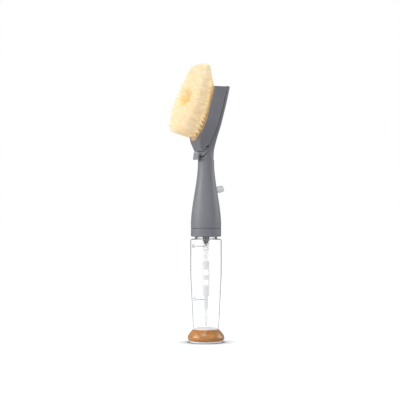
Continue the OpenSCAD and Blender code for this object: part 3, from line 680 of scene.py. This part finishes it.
@dataclass(frozen=True)
class Skin:
    """What one CAD node wears: its own shape, merged, shaded smooth and with soft edges.

    edge is the width of its rounded edges in metres, and edges that turn by more than angle, in degrees, are
    rounded or kept sharp.
    """

    node: str
    finish: Finish
    slot: Slot
    edge: float = 0.0
    angle: float = 30.0
    segments: int = 2
    merge: float = 0.002 * MM
    flat_angle: float = 0.4

    def dress(self, frame: dict) -> bpy.types.Object:
        """Makes the shown skin of the node.

        Args:
            frame: The loaded frame.

        Returns:
            The skin, which replaces the node.
        """
        source = frame["nodes"][self.node]
        work = bmesh.new()
        work.from_mesh(source.data)
        bmesh.ops.remove_doubles(work, verts=work.verts, dist=self.merge)
        bmesh.ops.dissolve_limit(work, angle_limit=math.radians(self.flat_angle), verts=work.verts,
                                 edges=work.edges)
        mesh = bpy.data.meshes.new(self.node + "_skin")
        work.to_mesh(mesh)
        work.free()
        skin = piece(self.node + "_skin", mesh, self.finish)
        if self.edge > 0.0:
            self.round_edges(skin)
        soften(skin.data, self.angle)
        skin.modifiers.new("even_normals", "WEIGHTED_NORMAL").keep_sharp = True
        settle(skin)
        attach(skin, source["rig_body"])
        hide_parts(self.node)
        return skin

    def round_edges(self, skin: bpy.types.Object) -> None:
        """Rounds the skin's edges a little, as moulded pieces have them.

        Args:
            skin: The skin.
        """
        bevel = skin.modifiers.new("soft_edges", "BEVEL")
        bevel.width = self.edge
        bevel.segments = self.segments
        bevel.limit_method = "ANGLE"
        bevel.angle_limit = math.radians(self.angle)
        settle(skin)


@dataclass(frozen=True)
class Assembly:
    """A sub-assembly whose CAD nodes are shown in their own shapes."""

    label: str
    skins: tuple[Skin, ...]

    def build(self, frame: dict) -> list[bpy.types.Object]:
        """Dresses each node of the sub-assembly.

        Args:
            frame: The loaded frame.

        Returns:
            The shown pieces.
        """
        made = [skin.dress(frame) for skin in self.skins]
        LOG.info("%s: %d pieces", self.label, len(made))
        return made


BASE = Assembly("base", (
    Skin("foot_pad", WHITE_SILICONE, Slot.SILICONE),
    Skin("bamboo_base", BAMBOO, Slot.BAMBOO),
    Skin("seat_disc", WHITE_SILICONE, Slot.SILICONE)))
TANK = Assembly("reservoir", (
    Skin("reservoir", CLEAR_PLASTIC, Slot.CLEAR),
    Skin("neck_gasket", WHITE_SILICONE, Slot.SILICONE)))
BODY = Assembly("handle", (
    Skin("handle", GREY_PLASTIC, Slot.GREY),
    Skin("collar", GREY_PLASTIC, Slot.GREY),
    Skin("port_seal", DARK_RUBBER, Slot.RUBBER),
    Skin("pump_flange", GREY_PLASTIC, Slot.GREY),
    Skin("air_vent", WHITE_SILICONE, Slot.SILICONE),
    Skin("button_bush", GREY_PLASTIC, Slot.GREY)))
INTAKE = Assembly("intake", (
    Skin("valve_housing", CLEAR_HOUSING, Slot.FROSTED),
    Skin("inlet_ball", BALL_GLASS, Slot.VALVE_BALL),
    Skin("inlet_spring", SPRING_STEEL, Slot.STEEL, angle=COIL_ANGLE),
    Skin("lower_barrel", FROSTED, Slot.FROSTED),
    Skin("sight_sleeve", SLEEVE_WHITE, Slot.CLEAR),
    Skin("foot_ball", BALL_GLASS, Slot.VALVE_BALL),
    Skin("dip_tube", INNER_CLEAR, Slot.CLEAR)))
PUMP = Assembly("pump", (
    Skin("riser_tube", WHITE_SILICONE, Slot.SILICONE),
    Skin("pump_cylinder", WHITE_PLASTIC, Slot.WHITE),
    Skin("button", BUTTON_PLASTIC, Slot.FROSTED),
    Skin("plunger_seal", DARK_RUBBER, Slot.RUBBER),
    Skin("return_spring", SPRING_STEEL, Slot.STEEL, angle=COIL_ANGLE),
    Skin("outlet_body", WHITE_PLASTIC, Slot.WHITE),
    Skin("outlet_ball", BALL_GLASS, Slot.VALVE_BALL),
    Skin("delivery_tube", WHITE_SILICONE, Slot.SILICONE)))
LEVER = Assembly("release lever", (
    Skin("release_lever", LEVER_PLASTIC, Slot.LEVER, edge=0.25 * MM),
    Skin("lever_pin", SPRING_STEEL, Slot.STEEL),
    Skin("lever_spring", SPRING_STEEL, Slot.STEEL, angle=COIL_ANGLE)))
HEAD = Assembly("brush head", (
    Skin("brush_block", GREY_PLASTIC, Slot.GREY, edge=0.3 * MM, angle=40.0),
    Skin("soap_nozzle", WHITE_PLASTIC, Slot.WHITE)))


@dataclass(frozen=True)
class SeamFit:
    """Brings the block's rear face and corners up to the spine, as the fitted pieces sit.

    Points less than rear deep are moved: the rear face to the clearance, its rounded edge to edge_share of
    its own depth past edge_start, and its corners out to corner_share of the half width.
    """

    head: HeadFrame = HeadFrame()
    clearance: float = 0.25 * MM
    rear: float = 1.3 * MM
    edge_start: float = 0.72 * MM
    edge_share: float = 0.6
    corner_share: float = 0.98
    corner_start: float = 0.8
    corner_run: float = 0.14
    angle: float = 40.0

    def close(self, block: bpy.types.Object) -> None:
        """Moves the block's rear points.

        Args:
            block: The block's skin.
        """
        out = self.head.out()
        for vertex in block.data.vertices:
            offset = vertex.co - self.head.point(0.0, 0.0, 0.0)
            depth, half = offset.dot(out), self.head.half(offset.dot(self.head.up()))
            if not 0.0 < depth < self.rear:
                continue
            share = abs(vertex.co.y) / half
            kept = self.clearance + max(0.0, depth - self.edge_start) * self.edge_share
            vertex.co += out * (kept - depth)
            corner = smooth((share - self.corner_start) / self.corner_run)
            wide = mix(share, max(share, self.corner_share), corner)
            vertex.co.y = math.copysign(half * wide, vertex.co.y)
        soften(block.data, self.angle)


@dataclass(frozen=True)
class ClearGrading:
    """A plainer finish for the reservoir's inside and one with stronger painted shade for its thick shoulder.
    """

    shoulder_z: float = 101.0 * MM
    facing_up: float = 0.5
    neck_radii: Pair = (10.5 * MM, 12.5 * MM)
    outward: float = 0.05
    seat_rim: float = 0.1 * MM
    seat_drop: float = 0.05 * MM

    def grade(self, tank: bpy.types.Object, seat: bpy.types.Object) -> None:
        """Assigns the finishes and parts the two faces that share one height.

        Args:
            tank: The reservoir's skin.
            seat: The seat disc's skin, whose top is lowered by a hair.
        """
        slots = {}
        for finish in (CLEAR_INSIDE, CLEAR_SHOULDER):
            tank.data.materials.append(finish.material())
            slots[finish] = len(tank.data.materials) - 1
        for face in tank.data.polygons:
            around = Vector((face.center.x, face.center.y, 0.0))
            on_neck = self.neck_radii[0] < around.length < self.neck_radii[1]
            if face.center.z > self.shoulder_z and (face.normal.z > self.facing_up or on_neck):
                face.material_index = slots[CLEAR_SHOULDER]
            elif around.normalized().dot(face.normal) < self.outward:
                face.material_index = slots[CLEAR_INSIDE]
        top = max(vertex.co.z for vertex in seat.data.vertices)
        for vertex in seat.data.vertices:
            if vertex.co.z > top - self.seat_rim:
                vertex.co.z -= self.seat_drop


@dataclass(frozen=True)
class BristleField:
    """Dense tufts over the brush block, scattered and combed by one Geometry Nodes tree.

    Splays are in degrees. low and high are the field's ends up the seam, and the shares are parts of the
    common length or of the field's height.
    """

    head: HeadFrame = HeadFrame()
    length: float = 25.4 * MM
    depth: float = 13.0 * MM
    low: float = 3.4 * MM
    high: float = 55.19 * MM
    margins: Pair = (1.5 * MM, 1.73 * MM)
    side_margin: float = 2.5 * MM
    foot_radius: float = 12.0 * MM
    foot_centre: float = 9.6 * MM
    tuft_inset: float = 0.9 * MM
    pitch: float = 4.15 * MM
    row_share: float = 0.9
    filler_share: float = 0.5
    nozzle_s: float = 30.0 * MM
    bare_radius: float = 5.4 * MM
    ring: tuple[int, float] = (8, 4.2 * MM)
    ring_share: float = 0.42
    hollow_radius: float = 8.5 * MM
    hollow_share: float = 0.58
    side_splay: float = 19.6
    low_splay: float = 4.0
    high_splay: float = 57.0
    top_splay_share: float = 0.1
    splay_falls: Pair = (0.4, 0.45)
    growth_start: float = 0.35
    top_rounding: float = 0.08
    top_growth: float = 0.12
    strands: int = 34
    sides: int = 5
    tuft_radius: float = 1.0 * MM
    strand_radius: float = 0.2 * MM
    shortest: float = 0.9
    spread: float = 0.1
    seed: int = 7

    def half(self, s: float) -> float:
        """Half width of the bristle field at a distance up the seam."""
        q = max(0.0, (self.low + self.foot_centre - s) / self.foot_radius)
        return (self.head.half(s) - self.side_margin) * (0.0 if q >= 1.0 else math.sqrt(1.0 - q * q))

    def tufts(self) -> list[Pair]:
        """Sets out the tufts in rows, in fillers between the upper rows' ends and in a ring round the nozzle.

        Returns:
            Their places, as distances up the seam and across, in metres.
        """
        places = []
        first, last = self.low + self.margins[0], self.high - self.margins[1]
        rows = round((last - first) / (self.pitch * self.row_share))
        for row in range(rows + 1):
            s = mix(first, last, row / rows)
            reach = self.half(s) - self.tuft_inset
            count = int(2.0 * reach / self.pitch)
            for i in range(count + 1):
                y = 0.0 if count == 0 else reach * (2.0 * i / count - 1.0)
                if math.hypot(s - self.nozzle_s, y) > self.bare_radius:
                    places.append((s, y))
        for row in range(rows):
            s = mix(first, last, (row + 0.5) / rows)
            if s > self.filler_share * self.high:
                reach = self.half(s) - self.tuft_inset
                places += [(s, reach), (s, -reach)]
        count, radius = self.ring
        for i in range(count):
            turn = math.tau * (i + 0.5) / count
            places.append((self.nozzle_s + radius * math.cos(turn), radius * math.sin(turn)))
        return places

    def lean(self, s: float, y: float) -> Vector:
        """Direction of a tuft's strands, which fan upwards and sideways.

        Args:
            s: The tuft's distance up the seam, in metres.
            y: Its distance from the plane of symmetry, in metres.

        Returns:
            The direction, as a unit vector.
        """
        share = (s - self.low) / (self.high - self.low)
        rise = math.radians(mix(self.low_splay, self.high_splay, share))
        held = mix(1.0, self.top_splay_share, smooth((share - self.splay_falls[0]) / self.splay_falls[1]))
        turn = math.radians(self.side_splay * held * y / self.head.full_half)
        return (self.head.out() * math.cos(rise) * math.cos(turn) + Vector((0.0, math.sin(turn), 0.0))
                + self.head.up() * math.sin(rise) * math.cos(turn))

    def reach(self, s: float, y: float) -> float:
        """Length of a tuft, which is longer at the top and shorter by the nozzle.

        Args:
            s: The tuft's distance up the seam, in metres.
            y: Its distance from the plane of symmetry, in metres.

        Returns:
            The length, as a share of the common length.
        """
        upper = smooth((s - self.growth_start * self.high) / ((1.0 - self.growth_start) * self.high))
        grown = 1.0 + upper * (self.top_growth - self.top_rounding * (abs(y) / self.half(s)) ** 3)
        near = math.hypot(s - self.nozzle_s, y)
        if near < self.bare_radius:
            return grown * self.ring_share
        return grown * (self.hollow_share if near < self.hollow_radius else 1.0)

    def tree(self) -> bpy.types.NodeTree:
        """The Geometry Nodes tree that grows strands on the tufts' points.

        Returns:
            The tree, with its named inputs.
        """
        tree = bpy.data.node_groups.new("grow_tufts", "GeometryNodeTree")
        face = tree.interface
        face.new_socket(name="Geometry", in_out="INPUT", socket_type="NodeSocketGeometry")
        for name, kind in (("Strands", "Int"), ("Tuft Radius", "Float"), ("Strand Radius", "Float"),
                           ("Length", "Float"), ("Spread", "Float"), ("Seed", "Int"),
                           ("Material", "Material")):
            face.new_socket(name=name, in_out="INPUT", socket_type="NodeSocket" + kind)
        face.new_socket(name="Geometry", in_out="OUTPUT", socket_type="NodeSocketGeometry")
        sheet = NodeSheet(tree)
        given = sheet.add("NodeGroupInput").outputs
        points = sheet.add("GeometryNodeMeshToPoints", {"Mesh": given["Geometry"]}).outputs[0]
        many = sheet.add("GeometryNodeDuplicateElements", {"Geometry": points, "Amount": given["Strands"]},
                         domain="POINT").outputs["Geometry"]
        lean = sheet.add("GeometryNodeInputNamedAttribute", {"Name": "lean"},
                         data_type="FLOAT_VECTOR").outputs["Attribute"]
        disc = self.scatter(sheet, given["Seed"], lean)
        moved = sheet.add("GeometryNodeSetPosition", {
            "Geometry": many, "Offset": sheet.scaled(disc, given["Tuft Radius"])}).outputs[0]
        way = sheet.vector("ADD", lean, sheet.scaled(disc, given["Spread"]))
        turn = sheet.add("FunctionNodeAlignRotationToVector", {"Vector": way}, axis="Z").outputs[0]
        radius = given["Strand Radius"]
        strand = sheet.add("GeometryNodeMeshCone", {
            "Vertices": self.sides, "Radius Top": radius, "Radius Bottom": radius, "Depth": given["Length"]},
            fill_type="TRIANGLE_FAN").outputs[0]
        long = sheet.add("ShaderNodeCombineXYZ", {"X": 1.0, "Y": 1.0,
                                                  "Z": self.lengths(sheet, given["Seed"])}).outputs[0]
        placed = sheet.add("GeometryNodeInstanceOnPoints", {
            "Points": moved, "Instance": strand, "Rotation": turn, "Scale": long}).outputs[0]
        real = sheet.add("GeometryNodeRealizeInstances", {0: placed}).outputs[0]
        painted = sheet.add("GeometryNodeSetMaterial", {"Geometry": real, "Material": given["Material"]})
        sheet.add("NodeGroupOutput", {"Geometry": painted.outputs[0]})
        return tree

    def scatter(self, sheet: NodeSheet, seed: bpy.types.NodeSocket,
                lean: bpy.types.NodeSocket) -> bpy.types.NodeSocket:
        """Random places in a disc of radius 1, square to the tuft's direction.

        Args:
            sheet: The tree's nodes.
            seed: The random seed.
            lean: The tuft's direction.

        Returns:
            The places, as vectors from the tuft's middle.
        """
        where = sheet.add("FunctionNodeRandomValue", {"Seed": seed, "Min": (-1.0, -1.0, -1.0),
                                                      "Max": (1.0, 1.0, 1.0)},
                          data_type="FLOAT_VECTOR").outputs["Value"]
        across = sheet.vector("SUBTRACT", where, sheet.vector("PROJECT", where, lean))
        over = sheet.number("MAXIMUM", sheet.length(across), 1.0)
        return sheet.scaled(across, sheet.number("DIVIDE", 1.0, over))

    def lengths(self, sheet: NodeSheet, seed: bpy.types.NodeSocket) -> bpy.types.NodeSocket:
        """The strands' lengths as shares of the common length: the tuft's own share, varied at random.

        Args:
            sheet: The tree's nodes.
            seed: The random seed.

        Returns:
            The shares.
        """
        vary = sheet.add("FunctionNodeRandomValue", {"Seed": seed}, data_type="FLOAT")
        for socket in vary.inputs:
            if socket.type == "VALUE" and socket.name in ("Min", "Max"):
                socket.default_value = self.shortest if socket.name == "Min" else 1.0
        reach = sheet.add("GeometryNodeInputNamedAttribute", {"Name": "reach"}, data_type="FLOAT")
        varied, share = (next(s for s in node.outputs if s.type == "VALUE" and s.enabled)
                         for node in (vary, reach))
        return sheet.number("MULTIPLY", varied, share)

    def build(self) -> bpy.types.Object:
        """Grows the bristles and puts them in place of the CAD strands.

        Returns:
            The bristles as one plain mesh.
        """
        places = self.tufts()
        mesh = bpy.data.meshes.new("bristles")
        mesh.from_pydata([tuple(self.head.point(s, self.depth, y)) for s, y in places], [], [])
        lean = mesh.attributes.new("lean", "FLOAT_VECTOR", "POINT")
        lean.data.foreach_set("vector", [c for s, y in places for c in self.lean(s, y)])
        reach = mesh.attributes.new("reach", "FLOAT", "POINT")
        reach.data.foreach_set("value", [self.reach(s, y) for s, y in places])
        grown = piece("bristles", mesh, BRISTLE)
        tree = self.tree()
        maker = grown.modifiers.new("grow_tufts", "NODES")
        maker.node_group = tree
        values = {"Strands": self.strands, "Tuft Radius": self.tuft_radius,
                  "Strand Radius": self.strand_radius, "Length": self.length, "Spread": self.spread,
                  "Seed": self.seed, "Material": BRISTLE.material()}
        for item in tree.interface.items_tree:
            if item.in_out == "INPUT" and item.name in values:
                maker[item.identifier] = values[item.name]
        settle(grown)
        grown.data.shade_smooth()
        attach(grown, Body.BRUSH.value)
        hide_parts("outer_bristles", "inner_bristles")
        LOG.info("bristles: %d tufts, %d faces", len(places), len(grown.data.polygons))
        return grown


@dataclass(frozen=True)
class TuftPlate:
    """The thin plate that the tufts grow from, with its rounded lower end, in a brown that is painted shade
    between the tufts' roots.
    """

    tufts: BristleField = BristleField()
    depth: Pair = (12.2 * MM, 14.0 * MM)
    past_low: float = 2.0 * MM
    past_high: float = 1.4 * MM
    rim: float = 0.78 * MM
    steps: int = 48
    angle: float = 30.0

    def build(self) -> bpy.types.Object:
        """Makes the plate.

        Returns:
            The plate.
        """
        shape, work = self.tufts, bmesh.new()
        low, high = shape.low - self.past_low, shape.high + self.past_high
        side = [(s, shape.half(s) + self.rim) for s in (mix(low, high, i / self.steps)
                                                        for i in range(self.steps + 1))]
        outline = side + [(s, -y) for s, y in reversed(side)]
        back, front = ([work.verts.new(shape.head.point(s, d, y)) for s, y in outline] for d in self.depth)
        work.faces.new(back)
        work.faces.new(list(reversed(front)))
        for i in range(len(outline)):
            j = (i + 1) % len(outline)
            work.faces.new((back[i], back[j], front[j], front[i]))
        mesh = mesh_of("tuft_plate", work)
        soften(mesh, self.angle)
        made = piece("tuft_plate", mesh, PLATE_SHADE)
        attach(made, Body.BRUSH.value)
        return made


@dataclass(frozen=True)
class FillMark:
    """A fill line with its number, printed round the reservoir's front. Angles run round the wand from +X."""

    height: float
    label: str
    centre: float = math.radians(218.0)
    half_angle: float = math.radians(18.0)
    number_angle: float = math.radians(189.0)
    steps: int = 48
    line: float = 0.55 * MM
    ink: float = 0.06 * MM
    line_lift: float = 0.01 * MM
    number_lift: float = 0.0075 * MM
    curve_steps: int = 6
    text: float = 5.2 * MM
    text_drop: float = 0.3
    foot_z: float = 13.8 * MM
    taper: float = 55.0 * MM
    foot_radius: float = 13.0 * MM
    full_radius: float = 15.7 * MM

    def radius(self, z: float) -> float:
        """Outer radius of the reservoir at a height."""
        risen = min(1.0, max(0.0, (z - self.foot_z) / self.taper))
        return mix(self.foot_radius, self.full_radius, risen)

    def place(self, angle: float, z: float, lift: float) -> Vector:
        """A point on the reservoir's skin, lifted off it."""
        r = self.radius(z) + lift
        return Vector((r * math.cos(angle), r * math.sin(angle), z))

    def build(self) -> list[bpy.types.Object]:
        """Prints the line and the number.

        Returns:
            The two printed pieces.
        """
        work, rings = bmesh.new(), []
        corners = ((0.0, self.line_lift), (self.line, self.line_lift), (self.line, self.ink), (0.0, self.ink))
        for i in range(self.steps + 1):
            angle = self.centre + mix(-self.half_angle, self.half_angle, i / self.steps)
            rings.append([work.verts.new(self.place(angle, self.height + up, lift)) for up, lift in corners])
        for a, b in zip(rings, rings[1:]):
            for i in range(len(corners)):
                j = (i + 1) % len(corners)
                work.faces.new((a[i], a[j], b[j], b[i]))
        work.faces.new(rings[0])
        work.faces.new(list(reversed(rings[-1])))
        name = "fill_line_" + self.label
        made = [piece(name, mesh_of(name, work), MARK_INK), self.number()]
        for one in made:
            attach(one, Body.RESERVOIR.value)
        return made

    def number(self) -> bpy.types.Object:
        """Makes the number as a thin solid and wraps it round the reservoir.

        Returns:
            The printed number.
        """
        font = bpy.data.curves.new("number_" + self.label, "FONT")
        font.body = self.label
        font.size = self.text
        font.align_x = "CENTER"
        font.extrude = self.ink / 2
        font.resolution_u = self.curve_steps
        source = put("number_" + self.label, font)
        mesh = evaluated(source)
        bpy.data.objects.remove(source)
        for vertex in mesh.vertices:
            x, y, z = vertex.co
            level = self.height - self.text_drop * self.text + y
            angle = self.number_angle + x / self.radius(level)
            vertex.co = self.place(angle, level, self.ink / 2 + z + self.number_lift)
        mesh.update()
        return piece("fill_number_" + self.label, mesh, MARK_INK)


@dataclass(frozen=True)
class Lamp:
    """A square soft lamp that faces the wand's middle, sized in metres and rated in watts."""

    name: str
    place: Triple
    size: float
    power: float
    aim: Triple = (0.0, 0.0, 0.14)

    def build(self) -> None:
        """Hangs the lamp."""
        data = bpy.data.lights.new(self.name, "AREA")
        data.shape = "SQUARE"
        data.size = self.size
        data.energy = self.power
        made = put(self.name, data)
        place = Vector(self.place)
        turn = (Vector(self.aim) - place).to_track_quat("-Z", "Y").to_matrix().to_4x4()
        made.matrix_world = Matrix.Translation(place) @ turn


LAMPS = (Lamp("key_light", (-1.36, 0.21, 0.75), 0.9, 19.0), Lamp("fill_light", (-0.17, -1.38, 0.6), 1.0, 5.5),
         Lamp("rim_light", (1.2, -0.3, 0.5), 0.7, 6.0), Lamp("top_light", (-0.45, -0.35, 1.2), 0.35, 3.0))


@dataclass(frozen=True)
class Studio:
    """Pale floor, soft lamps and the photograph's camera.

    azimuth is in degrees. eye is the camera's height, aside its shift to the left, and span the width that it
    sees at the wand. The floor's shade runs from shadow to light as less of the wand stands near it.
    """

    azimuth: float = -28.0
    distance: float = 1.36
    eye: float = 0.142
    aside: float = 0.006
    span: float = 0.4
    sensor: float = 36.0
    nearest: float = 0.05
    floor_half: float = 6.0
    floor_gap: float = 0.2 * MM
    bounce: Colour = (0.6, 0.6, 0.6)
    cast: Colour = (0.2, 0.2, 0.2)
    shade_reach: float = 65.0 * MM
    shade_samples: int = 16
    open_sky: Pair = (0.5, 0.94)
    shade: Pair = (0.1, 0.98)
    sky: Colour = (0.9, 0.93, 1.0)
    sky_strength: float = 0.38
    white: Colour = (1.0, 1.0, 1.0)

    def build(self) -> None:
        """Sets the floor, the lamps, the world and the camera."""
        scene = bpy.context.scene
        scene.view_settings.view_transform = "Standard"
        self.camera(scene)
        self.floor()
        self.world(scene)
        for lamp in LAMPS:
            lamp.build()
        LOG.info("studio: %d lamps", len(LAMPS))

    def camera(self, scene: bpy.types.Scene) -> None:
        """Puts the camera where the photograph was taken from.

        Args:
            scene: The scene.
        """
        turn = math.radians(self.azimuth)
        back = Vector((math.sin(turn), -math.cos(turn), 0.0))
        right = Vector((math.cos(turn), math.sin(turn), 0.0))
        data = bpy.data.cameras.new("photo_camera")
        data.sensor_width = self.sensor
        data.lens = self.sensor * self.distance / self.span
        data.clip_start = self.nearest
        eye = put("photo_camera", data)
        place = back * self.distance - right * self.aside + Vector((0.0, 0.0, self.eye))
        facing = Matrix((right, Vector((0.0, 0.0, 1.0)), back)).transposed().to_4x4()
        eye.matrix_world = Matrix.Translation(place) @ facing
        scene.camera = eye

    def seen(self, sheet: NodeSheet) -> bpy.types.NodeSocket:
        """1 where the camera sees a surface straight or through clear plastic, else 0."""
        rays = sheet.add("ShaderNodeLightPath").outputs
        return sheet.number("MAXIMUM", rays["Is Camera Ray"], rays["Is Transmission Ray"])

    def floor(self) -> None:
        """A wide pale floor that shows white and keeps the wand's shadow."""
        mesh = bpy.data.meshes.new("studio_floor")
        reach = self.floor_half
        mesh.from_pydata([(-reach, -reach, 0), (reach, -reach, 0), (reach, reach, 0), (-reach, reach, 0)], [],
                         [(0, 1, 2, 3)])
        made = put("studio_floor", mesh)
        made.location.z = -self.floor_gap
        paint = bpy.data.materials.new("studio_floor_white")
        sheet = cleared(paint)
        matt, dim = (sheet.add("ShaderNodeBsdfDiffuse", {"Color": rgba(tone)}).outputs[0]
                     for tone in (self.bounce, self.cast))
        # The floor's glow dims where the wand stands near: a painted contact shadow.
        near = sheet.add("ShaderNodeAmbientOcclusion", {"Distance": self.shade_reach},
                         samples=self.shade_samples)
        light = sheet.ramp(near.outputs["AO"], self.open_sky, self.shade)
        glow = sheet.add("ShaderNodeEmission", {"Color": rgba(self.white), "Strength": light}).outputs[0]
        both = sheet.add("ShaderNodeAddShader", {0: dim, 1: glow}).outputs[0]
        pick = sheet.add("ShaderNodeMixShader", {0: self.seen(sheet), 1: matt, 2: both}).outputs[0]
        sheet.add("ShaderNodeOutputMaterial", {"Surface": pick})
        mesh.materials.append(paint)

    def world(self, scene: bpy.types.Scene) -> None:
        """Makes a soft white surround that the camera sees as plain white.

        Args:
            scene: The scene.
        """
        world = bpy.data.worlds.new("studio_world")
        sheet = cleared(world)
        soft, plain = (
            sheet.add("ShaderNodeBackground", {"Color": rgba(colour), "Strength": strength}).outputs[0]
            for colour, strength in ((self.sky, self.sky_strength), (self.white, 1.0)))
        pick = sheet.add("ShaderNodeMixShader", {0: self.seen(sheet), 1: soft, 2: plain}).outputs[0]
        sheet.add("ShaderNodeOutputWorld", {"Surface": pick})
        scene.world = world


def main() -> None:
    """Builds the wand's looks in order and keeps its size."""
    logging.basicConfig(level=logging.INFO, format="%(name)s: %(message)s")
    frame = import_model()
    shown = {made.name: made for part in (BASE, TANK, BODY, INTAKE, PUMP, LEVER, HEAD)
             for made in part.build(frame)}
    SeamFit().close(shown["brush_block_skin"])
    ClearGrading().grade(shown["reservoir_skin"], shown["seat_disc_skin"])
    BristleField().build()
    TuftPlate().build()
    for mark in (FillMark(96.0 * MM, "45"), FillMark(43.3 * MM, "15")):
        mark.build()
    Studio().build()


if __name__ == "__main__":
    main()
